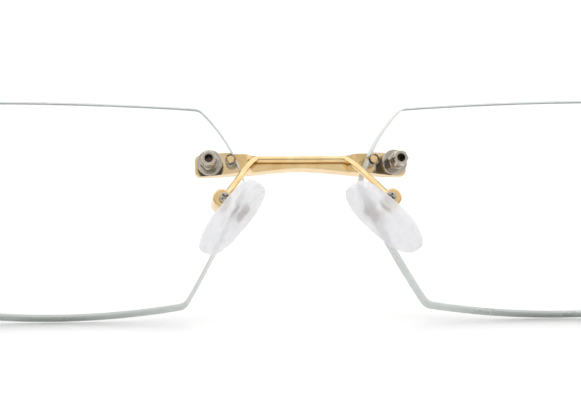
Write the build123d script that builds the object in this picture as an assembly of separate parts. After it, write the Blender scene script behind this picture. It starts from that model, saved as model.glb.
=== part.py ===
from build123d import *
import os
from math import cos, radians, sin, sqrt

# Rimless eyeglasses, in millimetres.
#
# Everything is first built in the front frame: X towards the wearer's left, Y towards the wearer,
# Z up in the plane of the lenses, origin on the front of the bridge at the height of its screws.
# The left half is built and mirrored. At the end the whole is tilted to stand on a table with the
# temples open, resting on the lens bottoms and the temple tips.

# Lenses
LENS_RADIUS = 130.0
LENS_THICKNESS = 2.8
LENS_BEVEL = 0.25
LENS_CENTRE_X = 38.0
LENS_CENTRE_Z = -7.4
LENS_EDGE_X = 67.35
FACE_FORM_DEG = 3.0
CORNER_RADIUS_NASAL_TOP = 2.0
CORNER_RADIUS_TEMPORAL = 4.0
CORNER_RADIUS_NASAL_BOTTOM = 2.0
CORNER_RADIUS_APEX = 1.2

# Lens mountings: a screw through a drilled hole and a pin in a notch of the lens edge
NASAL_SCREW_X = 14.2
NASAL_SCREW_Z = 0.0
NASAL_PIN_OFFSET = (-3.3, -0.4)
TEMPORAL_SCREW_X = 61.8
TEMPORAL_SCREW_Z = 1.6
TEMPORAL_PIN_OFFSET = (4.4, 0.0)
SEAT_GAP = 0.02
SCREW_RADIUS = 0.48
BUSHING_RADIUS = 1.00
WASHER_RADIUS = 2.0
WASHER_THICKNESS = 0.35
LOCK_NUT_CORNER_RADIUS = 1.48
LOCK_NUT_LENGTH = 1.4
BARREL_NUT_CORNER_RADIUS = 1.28
BARREL_NUT_LENGTH = 2.3
BARREL_NUT_MOUTH_RADIUS = 0.67
BARREL_NUT_MOUTH_LENGTH = 1.4
SCREW_SHORT_OF_MOUTH = 0.15
NUT_CHAMFER = 0.28
PIN_RADIUS = 0.60
PIN_ROOT = 0.6
PIN_STAND_OUT = 0.25
PIN_ROUNDING = 0.15
SLEEVE_RADIUS = 0.86
SLEEVE_START = 0.25
SLEEVE_STAND_OUT = 0.12
SHORT_OF_SEAT = 0.05

# Bridge bar and pad arms
BAR_HALF_WIDTH = 16.55
BAR_SHOULDER_X = 8.6
BAR_TOP = (1.52, 1.72, 0.98)
BAR_BOTTOM = (-1.78, -1.22, -0.46)
BAR_FRONT_Y = (-1.5, -2.2, -2.5)
BAR_MIDDLE_REAR_Y = 0.3
BAR_TAB_REAR_Y = 0.9
BAR_STEP_X = (7.6, 8.4)
BAR_END_RADIUS = 0.9
BAR_EDGE_RADIUS = 0.3
WIRE_RADIUS = 0.515
WIRE_Y = 0.82
WIRE_Z = 0.86
WIRE_STRAIGHT_HALF = 6.6

# Nose pads
PAD_CENTRE = (11.9, 7.5, -10.1)
PAD_FRONTAL_DEG = 41.9
PAD_VERTICAL_DEG = 9.8
PAD_SPLAY_DEG = 25.6
PAD_SET_DEG = 1.8
PAD_LENGTH = 14.8
PAD_WIDTH = 7.2
PAD_BACK = 1.1
PAD_FRONT = 1.25
PAD_RELIEF = 0.3
PAD_FACE_ROUNDING = 0.9
PAD_BACK_ROUNDING = 0.5
PAD_SCREW_X = 12.95
PAD_SCREW_Z = -7.1
BOX_FRONT_Y = 3.9
BOX_REAR_Y = 8.2
BOX_RADIUS = 1.45
BOX_CENTRE_X = 13.3
BOX_SLOT_FRONT_Y = 5.2
BOX_SLOT_REAR_Y = 6.8
BOX_SLOT_RADIUS = 1.06
BOX_SLOT_TURN_DEG = -28
BOX_ROUNDING = 0.25
EYE_RADIUS = 0.95
EYE_THICKNESS = 1.3
PAD_SCREW_RADIUS = 0.45
PAD_SCREW_HEAD_RADIUS = 0.875
PAD_SCREW_HEAD_HEIGHT = 0.5
PAD_SCREW_HEAD_ROUNDING = 0.22
RECESS_DEPTH = 0.35
RECESS_TURN_DEG = 35
RUNNING_CLEARANCE = 0.05
CORE_LENGTH = 5.0
CORE_WIDTH = 3.4
CORE_THICKNESS = 0.5
CORE_U = 2.0
CORE_W = -0.9
CORE_BACK = 0.25
CORE_FOOT = (1.15, 1.5, 0.5)
CORE_FOOT_STEP = 0.75
CORE_FOOT_HEIGHT = 0.45
CORE_NECK = 1.0

# Hinges and temples
HINGE_X = 69.2
HINGE_Y = 17.0
HINGE_Z = -1.55
PANTOSCOPIC_DEG = 12.5
STANDING_TILT_DEG = 16.0
KNUCKLE_RADIUS = 1.2
MIDDLE_KNUCKLE_HALF = 0.65
OUTER_KNUCKLE_START = 0.9
OUTER_KNUCKLE_END = 1.7
HINGE_WASHER_THICKNESS = 0.19
HINGE_SCREW_RADIUS = 0.6
HINGE_HEAD_RADIUS = 1.0
HINGE_HEAD_HEIGHT = 0.55
HINGE_HEAD_ROUNDING = 0.2
HINGE_SLOT = (2.4, 0.3, 0.5)
HINGE_SLOT_TURN_DEG = 40
HINGE_PLATE_THICKNESS = 0.6
ENDPIECE_PLATE_LENGTH = 3.6
TEMPLE_PLATE_LENGTH = 4.6
ARM_X = 2.05
ARM_THICKNESS = 1.2
BUTT_GAP = 0.1
ARM_FRONT_HEIGHT = 3.4
ARM_REAR_HEIGHT = 2.2
ARM_ROUNDING = 0.3
ARM_STRAIGHT = 88.0
TIP_START = 70.0
TIP_BEND_DEG = 47.0
TIP_BEND_RADIUS = 20.0
TIP_TURN_IN = 3.0
CORE_WIRE_RADIUS = 0.6
CORE_WIRE_SHARE = 0.86
TIP_START_HALF_THICKNESS = 1.15
TIP_START_HALF_HEIGHT = 1.75
TIP_HALF_THICKNESS = 1.75
TIP_HALF_HEIGHT = 3.1
TIP_END_LENGTH = 2.4

# Centre of the sphere that the front of the left lens belongs to. It is chosen so that the surface
# passes through the nasal screw hole at Y = 0 and the lens is turned outwards by the face form.
SPHERE_X = LENS_CENTRE_X - LENS_RADIUS * sin(radians(FACE_FORM_DEG))
SPHERE_Z = LENS_CENTRE_Z
SPHERE_Y = sqrt(LENS_RADIUS**2 - (NASAL_SCREW_X - SPHERE_X) ** 2 - (NASAL_SCREW_Z - SPHERE_Z) ** 2)
SPHERE_CENTRE = Vector(SPHERE_X, SPHERE_Y, SPHERE_Z)


def front_point(x, z):
    """Point on the front surface of the left lens."""
    depth = sqrt(LENS_RADIUS**2 - (x - SPHERE_X) ** 2 - (z - SPHERE_Z) ** 2)
    return Vector(x, SPHERE_Y - depth, z)


def mount_plane(x, z):
    """Frame of a lens mounting: origin on the lens front, Z along the rear normal, X outwards, Y down."""
    origin = front_point(x, z)
    normal = (SPHERE_CENTRE - origin).normalized()
    across = normal.cross(Vector(0, 0, 1)).normalized()
    return Plane(origin=origin, x_dir=across, z_dir=normal)


NASAL = mount_plane(NASAL_SCREW_X, NASAL_SCREW_Z)
TEMPORAL = mount_plane(TEMPORAL_SCREW_X, TEMPORAL_SCREW_Z)


def rod(plane, radius, start, end, x=0.0, y=0.0):
    """Cylinder along the Z axis of a frame, from one height to another."""
    bar = Pos(x, y, (start + end) / 2) * Cylinder(radius, end - start)
    return plane.location * bar


def ball(radius):
    return Pos(SPHERE_X, SPHERE_Y, SPHERE_Z) * Sphere(radius)


# ---------------------------------------------------------------- lenses


def lens_outline(scale):
    """Outline of the left lens, pushed along the cone through the sphere centre.

    Scale 1 is the cross-section of that cone with the plane Y = 0.
    """

    def flat(x, z):
        point = front_point(x, z)
        stretch = scale * SPHERE_Y / (SPHERE_Y - point.Y)
        return (SPHERE_X + (x - SPHERE_X) * stretch, SPHERE_Z + (z - SPHERE_Z) * stretch)

    nasal_top = flat(15.7, 8.85)
    temporal_top = flat(65.6, 8.8)
    temporal_bottom = flat(63.4, -23.3)
    nasal_bottom = flat(18.7, -23.1)
    apex = flat(8.6, -3.8)
    edges = [
        ThreePointArc(nasal_top, flat(40.0, 10.1), temporal_top),
        ThreePointArc(temporal_top, flat(66.8, -6.5), temporal_bottom),
        ThreePointArc(temporal_bottom, flat(41.0, -24.85), nasal_bottom),
        ThreePointArc(nasal_bottom, flat(13.35, -13.6), apex),
        ThreePointArc(apex, flat(11.25, 3.05), nasal_top),
    ]
    face = make_face(edges)
    corners = [
        (nasal_top, CORNER_RADIUS_NASAL_TOP),
        (temporal_top, CORNER_RADIUS_TEMPORAL),
        (temporal_bottom, CORNER_RADIUS_TEMPORAL),
        (nasal_bottom, CORNER_RADIUS_NASAL_BOTTOM),
        (apex, CORNER_RADIUS_APEX),
    ]
    for (x, y), radius in corners:
        corner = face.vertices().sort_by_distance(Vector(x, y, 0))[0]
        face = fillet(corner, radius * scale)
    return face


def lens_blank():
    """Curved shell cut square to its own surface all round."""
    front_scale = 1.04
    rear_scale = 0.92
    sections = []
    for scale in (front_scale, rear_scale):
        level = SPHERE_Y * (1 - scale)
        sections.append(Plane(origin=(0, level, 0), x_dir=(1, 0, 0), z_dir=(0, -1, 0)) * lens_outline(scale))
    wedge = loft(sections, ruled=True)
    shell = ball(LENS_RADIUS) - ball(LENS_RADIUS - LENS_THICKNESS)
    return wedge & shell


def lens():
    blank = lens_blank()
    body = chamfer(blank.edges().filter_by(lambda edge: edge_is_rim(edge)), LENS_BEVEL)
    for plane, pin in ((NASAL, NASAL_PIN_OFFSET), (TEMPORAL, TEMPORAL_PIN_OFFSET)):
        body -= rod(plane, BUSHING_RADIUS + SEAT_GAP, -1, LENS_THICKNESS + 1)
        body -= rod(plane, SLEEVE_RADIUS + SEAT_GAP, -1, LENS_THICKNESS + 1, *pin)
    return body


def edge_is_rim(edge):
    """True for the edges between a curved surface and the cut edge of the lens."""
    middle = edge @ 0.5
    distance = (middle - SPHERE_CENTRE).length
    on_front = abs(distance - LENS_RADIUS) < 0.01
    on_rear = abs(distance - LENS_RADIUS + LENS_THICKNESS) < 0.01
    return on_front or on_rear


# ---------------------------------------------------------------- lens mountings


def lens_screw(plane):
    """Threaded post that passes through the lens and ends inside the barrel nut."""
    thread_end = BARREL_START + BARREL_NUT_LENGTH - BARREL_NUT_MOUTH_LENGTH
    return rod(plane, SCREW_RADIUS, SEAT_GAP, thread_end - SCREW_SHORT_OF_MOUTH)


def lens_bushing(plane):
    tube = rod(plane, BUSHING_RADIUS, SHORT_OF_SEAT, LENS_THICKNESS - SHORT_OF_SEAT)
    return tube - rod(plane, SCREW_RADIUS + SEAT_GAP, -1, LENS_THICKNESS + 1)


WASHER_START = LENS_THICKNESS + 0.03
LOCK_START = WASHER_START + WASHER_THICKNESS + SEAT_GAP
BARREL_START = LOCK_START + LOCK_NUT_LENGTH + SEAT_GAP


def lens_washer(plane):
    top = WASHER_START + WASHER_THICKNESS
    ring = rod(plane, WASHER_RADIUS, WASHER_START, top) - rod(plane, SCREW_RADIUS + SEAT_GAP, 0, top + 1)
    return chamfer(ring.edges().group_by(Axis(plane.origin, plane.z_dir))[-1].sort_by(SortBy.RADIUS)[-1], 0.1)


def hex_nut(plane, corner_radius, start, length, bore_radius, turn_deg):
    """Hexagonal nut with its corners chamfered at both ends."""
    prism = extrude(RegularPolygon(corner_radius, 6), length)
    drum = Pos(0, 0, length / 2) * Cylinder(corner_radius, length)
    drum = chamfer(drum.edges().filter_by(GeomType.CIRCLE), NUT_CHAMFER)
    nut = (prism & drum) - Pos(0, 0, length / 2) * Cylinder(bore_radius, length + 1)
    return plane.location * Pos(0, 0, start) * Rot(0, 0, turn_deg) * nut


def lock_nut(plane):
    return hex_nut(plane, LOCK_NUT_CORNER_RADIUS, LOCK_START, LOCK_NUT_LENGTH, SCREW_RADIUS + SEAT_GAP, 12)


def barrel_nut(plane):
    """Nut threaded over the post, with a wider mouth left open behind it."""
    corner, length = BARREL_NUT_CORNER_RADIUS, BARREL_NUT_LENGTH
    nut = hex_nut(plane, corner, BARREL_START, length, SCREW_RADIUS + SEAT_GAP, 0)
    end = BARREL_START + length
    return nut - rod(plane, BARREL_NUT_MOUTH_RADIUS, end - BARREL_NUT_MOUTH_LENGTH, end + 1)


def notch_pin(plane, offset):
    pin = rod(plane, PIN_RADIUS, -PIN_ROOT, LENS_THICKNESS + PIN_STAND_OUT, *offset)
    rounded = pin.edges().sort_by(Axis(plane.origin, plane.z_dir))[-1]
    return fillet(rounded, PIN_ROUNDING)


def notch_sleeve(plane, offset):
    sleeve = rod(plane, SLEEVE_RADIUS, SLEEVE_START, LENS_THICKNESS + SLEEVE_STAND_OUT, *offset)
    return sleeve - rod(plane, PIN_RADIUS + SEAT_GAP, -1, LENS_THICKNESS + 1, *offset)


# ---------------------------------------------------------------- bridge


def bridge_silhouette():
    """Front view of the bar: tabs at the ends and a lighter, raised middle."""
    half = BAR_HALF_WIDTH
    stations = (-half, -BAR_SHOULDER_X, 0, BAR_SHOULDER_X, half)
    edges = []
    for end, shoulder, middle in (BAR_TOP, BAR_BOTTOM):
        heights = (end, shoulder, middle, shoulder, end)
        edges.append(Spline(*zip(stations, heights)))
    for x in (-half, half):
        edges.append(Line((x, BAR_TOP[0]), (x, BAR_BOTTOM[0])))
    return fillet(make_face(edges).vertices(), BAR_END_RADIUS)


def bridge_plan():
    """Top view of the bar: gently bowed front and a flat middle behind."""
    half = BAR_HALF_WIDTH + 1
    end, shoulder, middle = BAR_FRONT_Y
    step_start, step_end = BAR_STEP_X
    front = Spline((-half, end), (-9, shoulder), (0, middle), (9, shoulder), (half, end))
    rear = Polyline(
        (half, end),
        (half, BAR_TAB_REAR_Y),
        (step_end, BAR_TAB_REAR_Y),
        (step_start, BAR_MIDDLE_REAR_Y),
        (-step_start, BAR_MIDDLE_REAR_Y),
        (-step_end, BAR_TAB_REAR_Y),
        (-half, BAR_TAB_REAR_Y),
        (-half, end),
    )
    return make_face([front, rear])


def bridge_bar():
    """Bar with its rear face shaped to the lens fronts and a pin for each nasal notch."""
    bar = extrude(Plane.XZ * bridge_silhouette(), 10, both=True) & extrude(bridge_plan(), 10, both=True)
    seat = ball(LENS_RADIUS + SEAT_GAP)
    long_edges = bar.edges().filter_by(lambda edge: edge.length > BAR_HALF_WIDTH and (edge @ 0.5).Y < -1.0)
    bar = fillet(long_edges, BAR_EDGE_RADIUS)
    bar = bar - seat - mirror(seat, Plane.YZ)
    pin = notch_pin(NASAL, NASAL_PIN_OFFSET)
    return bar + pin + mirror(pin, Plane.YZ)


def pad_arm_wire():
    """One wire brazed behind the bar and bent back and down to each pad box."""
    start = WIRE_STRAIGHT_HALF
    bend = Bezier((start, WIRE_Y, WIRE_Z), (7.8, WIRE_Y, WIRE_Z), (8.6, 3.4, -0.9), (12.5, 7.4, -6.4))
    profile = Plane(origin=bend @ 0, z_dir=(1, 0, 0)) * Circle(WIRE_RADIUS)
    left = sweep(profile, bend)
    middle = extrude(profile, -2 * start)
    arms = middle + left + mirror(left, Plane.YZ)
    lug = pad_box_blank()
    return arms - lug - mirror(lug, Plane.YZ)


# ---------------------------------------------------------------- nose pads

PAD_SCREW_PLANE = Plane(origin=(PAD_SCREW_X, 0, PAD_SCREW_Z), x_dir=(1, 0, 0), z_dir=(0, 1, 0))


def pad_plane():
    """Frame of the left pad: X up along the pad, Y towards the wearer, Z out of the contact face."""
    frontal = radians(PAD_FRONTAL_DEG)
    vertical = radians(PAD_VERTICAL_DEG)
    splay = radians(PAD_SPLAY_DEG)
    down = Vector(sin(frontal) * cos(vertical), sin(vertical), -cos(frontal) * cos(vertical))
    side = Vector(-cos(frontal), 0, -sin(frontal))
    back = down.cross(side).normalized()
    side = back.cross(down).normalized()
    face = side * cos(splay) + back * sin(splay)
    return Plane(origin=PAD_CENTRE, x_dir=-down, z_dir=face)


PAD = pad_plane()


def pad_outline(length, width):
    """Rounded outline of a pad, a little wider in its upper half."""
    half = length / 2
    side = width / 2
    edge = Spline(
        (half, 0),
        (half * 0.7, side * 0.80),
        (0, side),
        (-half * 0.7, side * 0.74),
        (-half, 0),
        (-half * 0.7, -side * 0.74),
        (0, -side),
        (half * 0.7, -side * 0.82),
        periodic=True,
    )
    return make_face(edge)


def nose_pad():
    """Moulded silicone pad with a domed face, hollow where its core sits and relieved for the box."""
    slab = extrude(Plane.XY.offset(-PAD_BACK) * pad_outline(PAD_LENGTH, PAD_WIDTH), PAD_BACK + PAD_FRONT)
    slab = fillet(slab.faces().sort_by(Axis.Z)[-1].edges(), PAD_FACE_ROUNDING)
    slab = fillet(slab.faces().sort_by(Axis.Z)[0].edges(), PAD_BACK_ROUNDING)
    relief = rod(PAD_SCREW_PLANE, BOX_RADIUS + PAD_RELIEF, BOX_FRONT_Y - 1, BOX_REAR_Y + 1)
    return PAD.location * slab - relief - pad_core(SEAT_GAP)


def pad_core(grow=0.0):
    """Metal insert: an oval plate with two feet, a neck, and the eye that takes the pad screw."""
    plate = SlotOverall(CORE_LENGTH + 2 * grow, CORE_WIDTH + 2 * grow)
    plate = extrude(plate, CORE_THICKNESS + 2 * grow)
    plate = Pos(CORE_U, CORE_W, -CORE_BACK - grow) * plate
    foot = Box(*(side + 2 * grow for side in CORE_FOOT))
    for step in (-CORE_FOOT_STEP, CORE_FOOT_STEP):
        plate += Pos(CORE_U + step, CORE_W, CORE_FOOT_HEIGHT) * foot
    eye_y = (BOX_SLOT_FRONT_Y + BOX_SLOT_REAR_Y) / 2
    eye = Vector(PAD_SCREW_X, eye_y, PAD_SCREW_Z)
    anchor = PAD.from_local_coords(Vector(CORE_U, CORE_W, 0))
    along = (anchor - eye).normalized()
    neck_plane = Plane(origin=eye, x_dir=Vector(0, 1, 0).cross(along), z_dir=along)
    reach = (anchor - eye).length
    neck = Pos(0, 0, reach / 2) * Box(CORE_NECK + 2 * grow, CORE_NECK + 2 * grow, reach)
    half = EYE_THICKNESS / 2 + grow
    ring = rod(PAD_SCREW_PLANE, EYE_RADIUS + grow, eye_y - half, eye_y + half)
    core = PAD.location * plate + neck_plane.location * neck + ring
    return core - rod(PAD_SCREW_PLANE, PAD_SCREW_RADIUS + RUNNING_CLEARANCE, 0, 12)


def pad_box_blank():
    lug = rod(PAD_SCREW_PLANE, BOX_RADIUS, BOX_FRONT_Y, BOX_REAR_Y, BOX_CENTRE_X - PAD_SCREW_X)
    return fillet(lug.edges().filter_by(GeomType.CIRCLE), BOX_ROUNDING)


def pad_box():
    """Lug with a slot for the eye of the pad core, open towards the pad."""
    width = BOX_SLOT_REAR_Y - BOX_SLOT_FRONT_Y
    middle = (BOX_SLOT_REAR_Y + BOX_SLOT_FRONT_Y) / 2
    slot = rod(PAD_SCREW_PLANE, BOX_SLOT_RADIUS, BOX_SLOT_FRONT_Y, BOX_SLOT_REAR_Y)
    mouth = Pos(-2 * BOX_RADIUS, 0, 0) * Box(4 * BOX_RADIUS, width, 2 * BOX_RADIUS)
    slot += Pos(PAD_SCREW_X, middle, PAD_SCREW_Z) * Rot(0, BOX_SLOT_TURN_DEG, 0) * mouth
    bore = rod(PAD_SCREW_PLANE, PAD_SCREW_RADIUS + SEAT_GAP, 0, 12)
    return pad_box_blank() - slot - bore


def cross_recess(radius, depth):
    """Cross-shaped recess of a screw head, its top at Z = 0."""
    bar = Pos(0, 0, -depth / 2) * Box(radius * 1.35, radius * 0.32, depth)
    return bar + Rot(0, 0, 90) * bar


def pad_screw():
    head_top = BOX_REAR_Y + SEAT_GAP + PAD_SCREW_HEAD_HEIGHT
    head = rod(PAD_SCREW_PLANE, PAD_SCREW_HEAD_RADIUS, BOX_REAR_Y + SEAT_GAP, head_top)
    head = fillet(head.edges().sort_by(Axis.Y)[-1], PAD_SCREW_HEAD_ROUNDING)
    shank = rod(PAD_SCREW_PLANE, PAD_SCREW_RADIUS, BOX_FRONT_Y + 0.2, BOX_REAR_Y + 0.1)
    recess = Rot(0, 0, RECESS_TURN_DEG) * cross_recess(PAD_SCREW_HEAD_RADIUS, RECESS_DEPTH)
    recess = Pos(0, 0, head_top) * recess
    return head + shank - PAD_SCREW_PLANE.location * recess


# ---------------------------------------------------------------- hinges

# Frame of the left hinge: Z along the hinge screw, Y along the open temple.
HINGE = Location((HINGE_X, HINGE_Y, HINGE_Z), (-PANTOSCOPIC_DEG, 0, 0))


def endpiece():
    """Bar on the front of the lens that turns back round the lens edge to the hinge."""
    outer = Spline((-2.6, -14.25), (-0.4, -13.2), (1.6, -10.6), (2.55, -6.6), (2.65, -3.0))
    inner = Spline((1.45, -3.0), (1.35, -6.2), (0.7, -9.0), (-0.6, -10.9), (-1.7, -11.6))
    front = Line((-10.6, -16.3), (-2.6, -14.25))
    butt = Polyline((2.65, -3.0), (2.65, -BUTT_GAP), (1.45, -BUTT_GAP), (1.45, -3.0))
    rear = Polyline((-1.7, -11.6), (-1.7, -10.7), (-10.6, -12.9), (-10.6, -16.3))
    face = make_face([front, outer, butt, inner, rear])
    bar = HINGE * extrude(face, ARM_FRONT_HEIGHT / 2, both=True)
    side = LENS_CENTRE_X
    beside_lens = Pos(LENS_EDGE_X - side / 2, 0, 0) * Box(side, side, side)
    bar -= ball(LENS_RADIUS + SEAT_GAP) & beside_lens
    return bar + notch_pin(TEMPORAL, TEMPORAL_PIN_OFFSET)


def knuckle(start, end):
    return Pos(0, 0, (start + end) / 2) * Cylinder(KNUCKLE_RADIUS, end - start)


def endpiece_hinge():
    """Two outer knuckles on a plate brazed to the inside of the endpiece."""
    reach = ARM_X - ARM_THICKNESS / 2 - SEAT_GAP
    half = Part()
    for sign in (-1, 1):
        start = min(sign * OUTER_KNUCKLE_START, sign * OUTER_KNUCKLE_END)
        end = max(sign * OUTER_KNUCKLE_START, sign * OUTER_KNUCKLE_END)
        half += knuckle(start, end)
        web = Box(reach, KNUCKLE_RADIUS, end - start)
        half += Pos(reach / 2, -KNUCKLE_RADIUS / 2 - BUTT_GAP, (start + end) / 2) * web
    plate = Box(HINGE_PLATE_THICKNESS, ENDPIECE_PLATE_LENGTH, 2 * OUTER_KNUCKLE_END)
    plate_middle = -KNUCKLE_RADIUS - ENDPIECE_PLATE_LENGTH / 2
    half += Pos(reach - HINGE_PLATE_THICKNESS / 2, plate_middle, 0) * plate
    half -= Cylinder(HINGE_SCREW_RADIUS + SEAT_GAP, 10)
    return HINGE * half


def temple_hinge():
    """Middle knuckle on a plate brazed to the inside of the temple arm."""
    reach = ARM_X - ARM_THICKNESS / 2 - SEAT_GAP
    height = 2 * MIDDLE_KNUCKLE_HALF
    half = knuckle(-MIDDLE_KNUCKLE_HALF, MIDDLE_KNUCKLE_HALF)
    half += Pos(reach / 2, KNUCKLE_RADIUS / 2 + BUTT_GAP, 0) * Box(reach, KNUCKLE_RADIUS, height)
    plate_middle = KNUCKLE_RADIUS + BUTT_GAP + TEMPLE_PLATE_LENGTH / 2
    plate = Box(HINGE_PLATE_THICKNESS, TEMPLE_PLATE_LENGTH, height)
    half += Pos(reach - HINGE_PLATE_THICKNESS / 2, plate_middle, 0) * plate
    half -= Cylinder(HINGE_SCREW_RADIUS + RUNNING_CLEARANCE, 10)
    return HINGE * half


def hinge_screw():
    head_start = OUTER_KNUCKLE_END + SEAT_GAP
    shank_end = -OUTER_KNUCKLE_END + SHORT_OF_SEAT
    middle = (head_start + shank_end) / 2
    screw = Pos(0, 0, middle) * Cylinder(HINGE_SCREW_RADIUS, head_start - shank_end)
    head = Pos(0, 0, head_start + HINGE_HEAD_HEIGHT / 2) * Cylinder(HINGE_HEAD_RADIUS, HINGE_HEAD_HEIGHT)
    head = fillet(head.edges().sort_by(Axis.Z)[-1], HINGE_HEAD_ROUNDING)
    slot = Pos(0, 0, head_start + HINGE_HEAD_HEIGHT) * Rot(0, 0, HINGE_SLOT_TURN_DEG) * Box(*HINGE_SLOT)
    return HINGE * (screw + head - slot)


def hinge_washers():
    """Thin rings above and below the middle knuckle."""
    rings = Part()
    inner = HINGE_SCREW_RADIUS + SEAT_GAP
    gap_middle = (MIDDLE_KNUCKLE_HALF + OUTER_KNUCKLE_START) / 2
    for sign in (-1, 1):
        ring = Cylinder(KNUCKLE_RADIUS - SHORT_OF_SEAT, HINGE_WASHER_THICKNESS) - Cylinder(inner, 1)
        rings += Pos(0, 0, sign * gap_middle) * ring
    return HINGE * rings


# ---------------------------------------------------------------- temples


def table_height_of_hinge():
    """Height of the hinge above the table on which the lens bottoms stand."""
    tilt = radians(STANDING_TILT_DEG)
    lowest = lens().bounding_box().min.Z
    contact = front_point(LENS_CENTRE_X, lowest)
    return (HINGE_Y - contact.Y) * sin(tilt) + (HINGE_Z - lowest) * cos(tilt)


def bend_end():
    """Distance back and drop at the end of the bend."""
    bend = radians(TIP_BEND_DEG)
    return ARM_STRAIGHT + TIP_BEND_RADIUS * sin(bend), TIP_BEND_RADIUS * (1 - cos(bend))


def tail_length():
    """Length of the straight end of the tip that brings it down to the table."""
    bend = radians(TIP_BEND_DEG)
    slope = radians(STANDING_TILT_DEG - PANTOSCOPIC_DEG)
    back, drop = bend_end()
    height = table_height_of_hinge() + back * sin(slope) - drop * cos(slope)
    end_radius = sqrt((TIP_HALF_HEIGHT * cos(bend - slope)) ** 2 + (TIP_END_LENGTH * sin(bend - slope)) ** 2)
    return (height - end_radius) / sin(bend - slope)


def tip_curve():
    """Centre line of the tip: straight, bent down behind the ear, and turned in towards the head."""
    bend = radians(TIP_BEND_DEG)
    half_bend = bend / 2
    tail = tail_length()
    back, drop = bend_end()
    middle_back = ARM_STRAIGHT + TIP_BEND_RADIUS * sin(half_bend)
    middle_drop = TIP_BEND_RADIUS * (1 - cos(half_bend))
    return Spline(
        (ARM_X, TIP_START, 0),
        (ARM_X, (TIP_START + ARM_STRAIGHT) / 2, 0),
        (ARM_X, ARM_STRAIGHT, 0),
        (ARM_X - 0.1 * TIP_TURN_IN, middle_back, -middle_drop),
        (ARM_X - 0.3 * TIP_TURN_IN, back, -drop),
        (ARM_X - TIP_TURN_IN, back + tail * cos(bend), -drop - tail * sin(bend)),
        tangents=[(0, 1, 0), (-0.03 * TIP_TURN_IN, cos(bend), -sin(bend))],
    )


TIP_CURVE = tip_curve()


def tip_plane(share):
    """Plane square to the centre line of the tip."""
    return Plane(origin=TIP_CURVE @ share, x_dir=(1, 0, 0), z_dir=TIP_CURVE % share)


def temple_tip():
    """Curved sleeve over the end of the temple arm, wider towards its round end."""
    start = tip_plane(0) * Ellipse(TIP_START_HALF_THICKNESS, TIP_START_HALF_HEIGHT)
    end = tip_plane(1) * Ellipse(TIP_HALF_THICKNESS, TIP_HALF_HEIGHT)
    sleeve = sweep([start, end], TIP_CURVE, multisection=True)
    ellipsoid = scale(Sphere(1), by=(TIP_HALF_THICKNESS, TIP_HALF_HEIGHT, TIP_END_LENGTH))
    side = 4 * TIP_HALF_HEIGHT
    rear_half = Pos(0, 0, side / 2) * Box(side, side, side)
    sleeve += tip_plane(1).location * (ellipsoid & rear_half)
    return HINGE * (sleeve - core_wire(CORE_WIRE_RADIUS + SEAT_GAP))


def core_wire(radius):
    """Wire that runs from the flat temple arm down the middle of the tip."""
    return sweep(tip_plane(0) * Circle(radius), TIP_CURVE.trim(0, CORE_WIRE_SHARE))


def arm_strip():
    """Flat part of the temple arm, lower towards the tip."""
    rear = TIP_START - SHORT_OF_SEAT
    front = BUTT_GAP
    high = ARM_FRONT_HEIGHT / 2
    low = ARM_REAR_HEIGHT / 2
    face = make_face(Polyline((front, high), (rear, low), (rear, -low), (front, -high), close=True))
    strip = extrude(Plane.YZ * face, ARM_THICKNESS / 2, both=True)
    return Pos(ARM_X, 0, 0) * strip


def temple_arm():
    strip = arm_strip()
    strip = fillet(strip.edges().filter_by(lambda edge: edge.length > TIP_START / 2), ARM_ROUNDING)
    root = Pos(ARM_X, TIP_START - 1, 0) * Rot(90, 0, 0) * Cylinder(CORE_WIRE_RADIUS - SHORT_OF_SEAT, 4)
    return HINGE * (strip + root + core_wire(CORE_WIRE_RADIUS))


# ---------------------------------------------------------------- assembly


def left_half():
    """Every piece of the left side, by name."""
    pieces = {
        "lens": lens(),
        "endpiece": endpiece(),
        "endpiece_hinge": endpiece_hinge(),
        "hinge_screw": hinge_screw(),
        "hinge_washers": hinge_washers(),
        "temple_hinge": temple_hinge(),
        "temple_arm": temple_arm(),
        "temple_tip": temple_tip(),
        "nose_pad": nose_pad(),
        "pad_core": pad_core(),
        "pad_box": pad_box(),
        "pad_screw": pad_screw(),
    }
    for name, plane, pin in (("inner", NASAL, NASAL_PIN_OFFSET), ("outer", TEMPORAL, TEMPORAL_PIN_OFFSET)):
        pieces[name + "_screw"] = lens_screw(plane)
        pieces[name + "_bushing"] = lens_bushing(plane)
        pieces[name + "_washer"] = lens_washer(plane)
        pieces[name + "_lock_nut"] = lock_nut(plane)
        pieces[name + "_barrel_nut"] = barrel_nut(plane)
        pieces[name + "_notch_sleeve"] = notch_sleeve(plane, pin)
    return pieces


def pad_turned(shape, degrees):
    """The shape turned about the pad screw of the left side."""
    return shape.rotate(Axis((PAD_SCREW_X, 0, PAD_SCREW_Z), (0, 1, 0)), degrees)


def all_pieces():
    pieces = {"bridge_bar": bridge_bar(), "pad_arm_wire": pad_arm_wire()}
    for name, shape in left_half().items():
        left = shape
        right = shape
        if name in ("nose_pad", "pad_core"):
            left = pad_turned(shape, PAD_SET_DEG)
            right = pad_turned(shape, -PAD_SET_DEG)
        pieces["left_" + name] = left
        pieces["right_" + name] = mirror(right, Plane.YZ)
    return pieces


def standing_location(pieces):
    """Location that tilts the front frame to stand on the table, centred over the origin."""
    tilt = Rot(STANDING_TILT_DEG, 0, 0)
    boxes = [(tilt * shape).bounding_box() for shape in pieces.values()]
    middle_x = (min(box.min.X for box in boxes) + max(box.max.X for box in boxes)) / 2
    middle_y = (min(box.min.Y for box in boxes) + max(box.max.Y for box in boxes)) / 2
    floor = min(box.min.Z for box in boxes)
    return Pos(-middle_x, -middle_y, -floor) * tilt


PIECES = all_pieces()
STANDING = standing_location(PIECES)
os.makedirs("parts", exist_ok=True)
for name, shape in PIECES.items():
    export_step(STANDING * shape, "parts/" + name + ".step")
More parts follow.
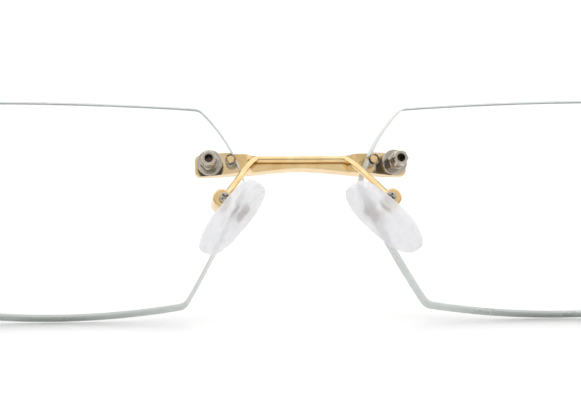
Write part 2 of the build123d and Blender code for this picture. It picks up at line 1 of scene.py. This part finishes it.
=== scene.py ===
"""Rimless spectacles with gold mounts, standing on their lenses and temple tips on a pale floor."""
import math

import bpy
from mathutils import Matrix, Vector
from mathutils.bvhtree import BVHTree


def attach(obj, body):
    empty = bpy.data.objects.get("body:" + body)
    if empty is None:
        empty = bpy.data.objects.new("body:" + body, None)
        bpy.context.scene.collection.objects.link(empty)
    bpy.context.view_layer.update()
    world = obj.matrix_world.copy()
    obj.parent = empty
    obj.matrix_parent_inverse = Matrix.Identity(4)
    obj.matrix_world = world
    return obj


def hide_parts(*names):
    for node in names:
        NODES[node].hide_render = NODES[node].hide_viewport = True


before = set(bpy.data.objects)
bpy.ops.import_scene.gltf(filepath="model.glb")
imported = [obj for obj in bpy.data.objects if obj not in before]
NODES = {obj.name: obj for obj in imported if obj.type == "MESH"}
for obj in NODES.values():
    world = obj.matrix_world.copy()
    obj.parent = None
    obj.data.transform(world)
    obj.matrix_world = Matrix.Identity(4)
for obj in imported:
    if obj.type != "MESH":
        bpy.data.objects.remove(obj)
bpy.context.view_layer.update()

# ---------------------------------------------------------------- sizes, in metres
LEAN_DEG = 16.0  # how far the front leans back on the table
REARWARD = Vector((0.0, math.cos(math.radians(LEAN_DEG)), math.sin(math.radians(LEAN_DEG))))
FACE_LIMIT = 0.9  # a lens polygon turned further than this from REARWARD is cut or drilled
PAD_FACE = (-0.7204, 0.5602, -0.4089)  # outward direction of the left pad's face
FOOT_HEIGHT = 0.00042  # how far the feet of a pad insert stand out of its plate
POCKET_GAP = 0.00012  # pad surfaces nearer to the insert than this are the pocket around it
BAR_BARE_HALF = 0.0076  # beyond this distance from the middle a lens lies on the bar
BARE_FADE = 0.001  # width of the soft change there
FLOOR_HALF = 6.0

# How near another surface has to be for painted shade to darken each kind of metal.
GOLD_SHADE_REACH = 0.0007
BAR_SHADE_REACH = 0.0009
WIRE_SHADE_REACH = 0.0008
STEEL_SHADE_REACH = 0.0006
CORE_SHADE_REACH = 0.0001
MOUTH_SHADE_REACH = 0.0016

# ---------------------------------------------------------------- colours
# The third colour in the gold and steel rows is painted shade for crevices between parts.
PALE_GOLD, DEEP_GOLD, GOLD_PAINTED_SHADE = (0.91, 0.69, 0.38), (0.80, 0.55, 0.25), (0.16, 0.075, 0.02)
PALE_STEEL, DEEP_STEEL, STEEL_PAINTED_SHADE = (0.64, 0.59, 0.50), (0.50, 0.45, 0.38), (0.07, 0.05, 0.035)
PALE_CORE, DEEP_CORE = (0.62, 0.52, 0.43), (0.46, 0.38, 0.31)
# Deeper painted shade inside the mouths of the barrel nuts and on the screw posts.
MOUTH_PAINTED_SHADE = (0.05, 0.03, 0.015)
LENS_TINT, NYLON_TINT = (0.985, 0.995, 0.99), (0.80, 0.80, 0.88)
WHITE = (1.0, 1.0, 1.0)
PLASTIC_IOR = 1.5

# ---------------------------------------------------------------- camera
AIM = Vector((0.0, -0.072478, 0.02385))  # front of the bridge at screw height
SIDE_ANGLE = 6.9  # degrees from straight behind, towards the wearer's left
LIFT_ANGLE = 1.83  # degrees above the horizon
DISTANCE = 0.650
FOCAL_MM = 256.0
SENSOR_MM = 36.0
SHIFT = (-0.0165, -0.0714)


def make_camera():
    side = math.radians(SIDE_ANGLE)
    lift = math.radians(LIFT_ANGLE)
    back = Vector(
        (math.sin(side) * math.cos(lift), math.cos(side) * math.cos(lift), math.sin(lift))
    )
    data = bpy.data.cameras.new("camera")
    data.sensor_width = SENSOR_MM
    data.lens = FOCAL_MM
    data.shift_x, data.shift_y = SHIFT
    data.clip_start, data.clip_end = 0.01, 20.0
    camera = bpy.data.objects.new("camera", data)
    camera.location = AIM + back * DISTANCE
    camera.rotation_mode = "QUATERNION"
    camera.rotation_quaternion = (-back).to_track_quat("-Z", "Y")
    bpy.context.scene.collection.objects.link(camera)
    bpy.context.scene.camera = camera


# ---------------------------------------------------------------- node helpers
class Nodes:
    """A short way to build a node tree. The methods that make a pattern return its output socket."""

    def __init__(self, tree):
        self.tree = tree
        tree.nodes.clear()

    def add(self, kind, **settings):
        node = self.tree.nodes.new(kind)
        for name, value in settings.items():
            setattr(node, name, value)
        return node

    def set(self, node, **values):
        for name, value in values.items():
            socket = node.inputs[name.replace("_", " ")]
            if isinstance(value, bpy.types.NodeSocket):
                self.tree.links.new(value, socket)
            else:
                socket.default_value = value
        return node

    def link(self, out, into):
        self.tree.links.new(out, into)

    def place(self):
        return self.add("ShaderNodeTexCoord").outputs["Object"]

    def stretched(self, scale):
        node = self.add("ShaderNodeMapping")
        self.link(self.place(), node.inputs["Vector"])
        node.inputs["Scale"].default_value = scale
        return node.outputs["Vector"]

    def noise(self, scale, detail=3.0, roughness=0.55, vector=None):
        node = self.add("ShaderNodeTexNoise")
        self.link(vector or self.place(), node.inputs["Vector"])
        self.set(node, Scale=scale, Detail=detail, Roughness=roughness)
        return node.outputs["Fac"]

    def ramp(self, factor, *stops):
        node = self.add("ShaderNodeValToRGB")
        self.link(factor, node.inputs["Fac"])
        elements = node.color_ramp.elements
        while len(elements) < len(stops):
            elements.new(0.5)
        for element, (position, colour) in zip(elements, stops):
            element.position = position
            element.color = (*colour, 1.0)
        return node.outputs["Color"]

    def spread(self, factor, low, high, start=0.35, end=0.65):
        node = self.add("ShaderNodeMapRange")
        self.link(factor, node.inputs["Value"])
        node.inputs["From Min"].default_value = start
        node.inputs["From Max"].default_value = end
        node.inputs["To Min"].default_value = low
        node.inputs["To Max"].default_value = high
        return node.outputs["Result"]

    def paint_crevice_shade(self, colour, painted_shade, reach, own=True, half_width=None):
        """Painted shade: colour that turns to the shade colour where another surface is nearer than
        reach, as in crevices between parts.

        With own set, only the piece's own surfaces count. With half_width, only its middle darkens.
        """
        closeness = self.add("ShaderNodeAmbientOcclusion", samples=6, only_local=own)
        self.set(closeness, Distance=reach)
        mix = self.add("ShaderNodeMix", data_type="RGBA")
        unshaded = self.spread(closeness.outputs["AO"], 0.0, 1.0, 0.15, 0.7)
        if half_width:
            split = self.add("ShaderNodeSeparateXYZ")
            self.link(self.place(), split.inputs["Vector"])
            aside = self.add("ShaderNodeMath", operation="ABSOLUTE")
            self.link(split.outputs["X"], aside.inputs[0])
            beyond = self.spread(aside.outputs["Value"], 0.0, 1.0, half_width, half_width + BARE_FADE)
            highest = self.add("ShaderNodeMath", operation="MAXIMUM")
            self.link(unshaded, highest.inputs[0])
            self.link(beyond, highest.inputs[1])
            unshaded = highest.outputs["Value"]
        self.link(unshaded, mix.inputs["Factor"])
        mix.inputs["A"].default_value = (*painted_shade, 1.0)
        self.link(colour, mix.inputs["B"])
        return mix.outputs["Result"]

    def bump(self, height, strength, distance):
        node = self.add("ShaderNodeBump")
        self.link(height, node.inputs["Height"])
        node.inputs["Strength"].default_value = strength
        node.inputs["Distance"].default_value = distance
        return node.outputs["Normal"]


def new_material(name):
    material = bpy.data.materials.new(name)
    material.use_nodes = True
    nodes = Nodes(material.node_tree)
    out = nodes.add("ShaderNodeOutputMaterial")
    shader = nodes.add("ShaderNodeBsdfPrincipled")
    nodes.link(shader.outputs["BSDF"], out.inputs["Surface"])
    return material, nodes, shader


def polished_metal(name, pale, deep, painted_shade, reach, smooth, dull, own=True, half_width=None):
    """Plated metal: slow tint changes, faint polishing marks, and painted shade where pieces meet."""
    material, nodes, shader = new_material(name)
    tint = nodes.ramp(nodes.noise(420.0, 2.0), (0.3, deep), (0.7, pale))
    # Painted shade: darken the tint where other surfaces are near, in crevices between parts.
    tint = nodes.paint_crevice_shade(tint, painted_shade, reach, own, half_width)
    hairlines = nodes.noise(1200.0, 4.0, 0.65, nodes.stretched((0.5, 2.0, 2.0)))
    patches = nodes.noise(700.0, 3.0)
    nodes.set(
        shader,
        Base_Color=tint,
        Metallic=1.0,
        Roughness=nodes.spread(patches, smooth, dull),
        Normal=nodes.bump(hairlines, 0.03, 0.00003),
    )
    return material


def clear_plastic(name, colour, ior):
    """Clear moulded or cast plastic with a trace of haze."""
    material, nodes, shader = new_material(name)
    haze = nodes.noise(160.0, 3.0)
    nodes.set(
        shader,
        Base_Color=nodes.ramp(nodes.noise(60.0), (0.3, colour), (0.7, WHITE)),
        Roughness=nodes.spread(haze, 0.0, 0.012),
        IOR=ior,
        Transmission_Weight=1.0,
    )
    return material


def ground_edge(name):
    """Satin ground lens edge: pale grey-green, with slow changes of tint and gloss."""
    material, nodes, shader = new_material(name)
    drift = nodes.noise(55.0, 2.0)
    tint = nodes.ramp(drift, (0.35, (0.70, 0.74, 0.71)), (0.65, (0.80, 0.85, 0.81)))
    nodes.set(
        shader,
        Base_Color=tint,
        Roughness=nodes.spread(nodes.noise(200.0), 0.26, 0.34),
        IOR=PLASTIC_IOR,
        Transmission_Weight=0.15,
    )
    return material


def silicone(name):
    """Milky clear silicone: soft haze, slightly orange-peeled skin."""
    material, nodes, shader = new_material(name)
    clouds = nodes.noise(120.0, 2.0)
    tint = nodes.ramp(clouds, (0.3, (0.93, 0.93, 0.975)), (0.7, (0.95, 0.95, 0.99)))
    nodes.set(
        shader,
        Base_Color=tint,
        Roughness=nodes.spread(nodes.noise(900.0), 0.24, 0.36),
        IOR=1.41,
        Alpha=0.50,
        Subsurface_Weight=0.35,
        Subsurface_Scale=0.001,
        Normal=nodes.bump(nodes.noise(2600.0, 4.0), 0.05, 0.00003),
    )
    shader.inputs["Subsurface Radius"].default_value = (1.0, 1.0, 1.0)
    return material


def acetate(name):
    """Brown tortoise acetate with darker clouds, polished, with faint buffing marks."""
    material, nodes, shader = new_material(name)
    warped = nodes.stretched((1.0, 0.45, 1.0))
    clouds = nodes.noise(130.0, 4.0, 0.6, warped)
    tint = nodes.ramp(
        clouds,
        (0.36, (0.028, 0.010, 0.004)),
        (0.5, (0.13, 0.045, 0.014)),
        (0.64, (0.36, 0.15, 0.045)),
    )
    nodes.set(
        shader,
        Base_Color=tint,
        Roughness=nodes.spread(nodes.noise(500.0), 0.10, 0.22),
        IOR=1.49,
        Coat_Weight=0.4,
        Coat_Roughness=0.05,
        Transmission_Weight=0.15,
        Normal=nodes.bump(nodes.noise(1500.0, 3.0), 0.04, 0.0001),
    )
    return material


def insert_material(name):
    """Nearly clear plastic of the oval plate that carries the two metal feet."""
    material, nodes, shader = new_material(name)
    nodes.set(
        shader,
        Base_Color=nodes.ramp(nodes.noise(500.0), (0.3, (0.93, 0.90, 0.87)), (0.7, (0.98, 0.96, 0.94))),
        Roughness=nodes.spread(nodes.noise(900.0), 0.3, 0.45),
        IOR=1.45,
        Alpha=0.06,
    )
    return material


# ---------------------------------------------------------------- painting
def paint_nodes():
    gold_tints_and_shade = (PALE_GOLD, DEEP_GOLD, GOLD_PAINTED_SHADE)
    gold = polished_metal("gold", *gold_tints_and_shade, GOLD_SHADE_REACH, 0.07, 0.16)
    # The bar's painted shade is kept to its bare middle, near the wire.
    bar_gold = polished_metal("gold_bar", *gold_tints_and_shade, BAR_SHADE_REACH, 0.07, 0.16, False, BAR_BARE_HALF)
    wire_gold = polished_metal("gold_wire", *gold_tints_and_shade, WIRE_SHADE_REACH, 0.07, 0.14, False)
    steel = polished_metal("nickel", PALE_STEEL, DEEP_STEEL, STEEL_PAINTED_SHADE, STEEL_SHADE_REACH, 0.08, 0.2)
    pad_metal = polished_metal("pad_metal", PALE_CORE, DEEP_CORE, STEEL_PAINTED_SHADE, CORE_SHADE_REACH, 0.3, 0.45)
    lens = clear_plastic("lens", LENS_TINT, PLASTIC_IOR)
    nylon = clear_plastic("nylon", NYLON_TINT, PLASTIC_IOR)
    # Nuts and screw posts take a deeper painted shade that reaches further into their hollows.
    mouth_tints_and_shade = (PALE_STEEL, DEEP_STEEL, MOUTH_PAINTED_SHADE)
    nut_steel = polished_metal("nickel_nut", *mouth_tints_and_shade, MOUTH_SHADE_REACH, 0.08, 0.2)
    post_steel = polished_metal("nickel_post", *mouth_tints_and_shade, MOUTH_SHADE_REACH, 0.08, 0.2, False)
    core = insert_material("pad_insert")
    # Looked up by the end of a node's name; a later entry wins over an earlier one.
    finishes = {
        "bridge_bar": bar_gold,
        "pad_arm_wire": wire_gold,
        "lens": lens,
        "bushing": nylon,
        "sleeve": nylon,
        "nose_pad": silicone("silicone"),
        "pad_core": core,
        "tip": acetate("acetate"),
        "screw": steel,
        "washer": steel,
        "washers": steel,
        "nut": steel,
        "barrel_nut": nut_steel,
        "inner_screw": post_steel,
        "outer_screw": post_steel,
        "hinge_screw": gold,
    }
    for name, node in NODES.items():
        material = gold
        for ending, finish in finishes.items():
            if name.endswith(ending):
                material = finish
        for slot in node.material_slots:
            slot.material = material
    edge = ground_edge("lens_edge")
    for side, sign in (("left", 1), ("right", -1)):
        split_lens(side, lens, edge)
        split_core(side, sign, core, pad_metal)
        split_pad(side, finishes["nose_pad"], core)


def two_part_copy(node_name, piece_name, first, second, is_second):
    """Copy of a node's mesh with the first material, and the second where is_second says so."""
    mesh = NODES[node_name].data.copy()
    mesh.name = piece_name
    mesh.materials.clear()
    mesh.materials.append(first)
    mesh.materials.append(second)
    for polygon in mesh.polygons:
        polygon.material_index = 1 if is_second(polygon) else 0
    piece = bpy.data.objects.new(piece_name, mesh)
    bpy.context.scene.collection.objects.link(piece)
    return piece


def split_lens(side, clear, ground):
    """Lens with its two optical faces clear, and everything cut or drilled ground."""

    def cut(polygon):
        return abs(polygon.normal.dot(REARWARD)) <= FACE_LIMIT

    piece = two_part_copy(side + "_lens", side + "_lens_blank", clear, ground, cut)
    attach(piece, "front")
    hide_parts(side + "_lens")


def split_core(side, sign, plate, metal):
    """Pad insert whose two feet are metal, on a nearly clear plate."""
    outward = Vector((sign * PAD_FACE[0], PAD_FACE[1], PAD_FACE[2]))
    vertices = NODES[side + "_pad_core"].data.vertices
    top = max(vertex.co.dot(outward) for vertex in vertices)

    def foot(polygon):
        return polygon.center.dot(outward) > top - FOOT_HEIGHT

    piece = two_part_copy(side + "_pad_core", side + "_pad_insert", plate, metal, foot)
    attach(piece, side + "_pad")
    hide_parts(side + "_pad_core")


def split_pad(side, skin, pocket):
    """Nose pad whose inner pocket, moulded onto the insert, hardly shows."""
    insert = NODES[side + "_pad_core"].data
    tree = BVHTree.FromPolygons(
        [vertex.co for vertex in insert.vertices],
        [tuple(polygon.vertices) for polygon in insert.polygons],
    )

    def inside(polygon):
        distance = tree.find_nearest(polygon.center)[3]
        return distance < POCKET_GAP

    piece = two_part_copy(side + "_nose_pad", side + "_pad_skin", skin, pocket, inside)
    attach(piece, side + "_pad")
    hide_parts(side + "_nose_pad")


# ---------------------------------------------------------------- stage
def make_stage():
    mesh = bpy.data.meshes.new("floor")
    half = FLOOR_HALF
    mesh.from_pydata(
        [(-half, -half, 0), (half, -half, 0), (half, half, 0), (-half, half, 0)],
        [],
        [(0, 1, 2, 3)],
    )
    floor = bpy.data.objects.new("floor", mesh)
    bpy.context.scene.collection.objects.link(floor)
    material, nodes, shader = new_material("floor_white")
    grain = nodes.noise(40.0, 3.0)
    nodes.set(
        shader,
        Base_Color=nodes.ramp(grain, (0.3, (0.93, 0.93, 0.93)), (0.7, (0.95, 0.95, 0.95))),
        Roughness=0.3,
        IOR=1.3,
    )
    mesh.materials.append(material)


def make_world():
    """White studio: bright behind the glasses and overhead, with a dim band behind the camera."""
    world = bpy.data.worlds.new("studio")
    bpy.context.scene.world = world
    world.use_nodes = True
    nodes = Nodes(world.node_tree)
    out = nodes.add("ShaderNodeOutputWorld")
    background = nodes.add("ShaderNodeBackground")
    nodes.link(background.outputs["Background"], out.inputs["Surface"])
    split = nodes.add("ShaderNodeSeparateXYZ")
    direction = nodes.add("ShaderNodeTexCoord").outputs["Generated"]
    nodes.link(direction, split.inputs["Vector"])
    dim_band = nodes.ramp(
        split.outputs["Z"],
        (0.0, (0.45, 0.45, 0.46)),
        (0.06, (0.10, 0.10, 0.11)),
        (0.22, (0.12, 0.12, 0.13)),
        (0.34, (0.60, 0.60, 0.60)),
        (0.62, (0.70, 0.70, 0.70)),
        (0.76, (1.0, 1.0, 1.0)),
    )
    towards_camera = nodes.spread(split.outputs["Y"], 0.0, 1.0, 0.05, 0.30)
    mix = nodes.add("ShaderNodeMix", data_type="RGBA")
    nodes.link(towards_camera, mix.inputs["Factor"])
    mix.inputs["A"].default_value = (1.0, 1.0, 1.0, 1.0)
    nodes.link(dim_band, mix.inputs["B"])
    nodes.link(mix.outputs["Result"], background.inputs["Color"])
    background.inputs["Strength"].default_value = 1.25


make_camera()
paint_nodes()
make_stage()
make_world()
bpy.context.scene.view_settings.view_transform = "Standard"
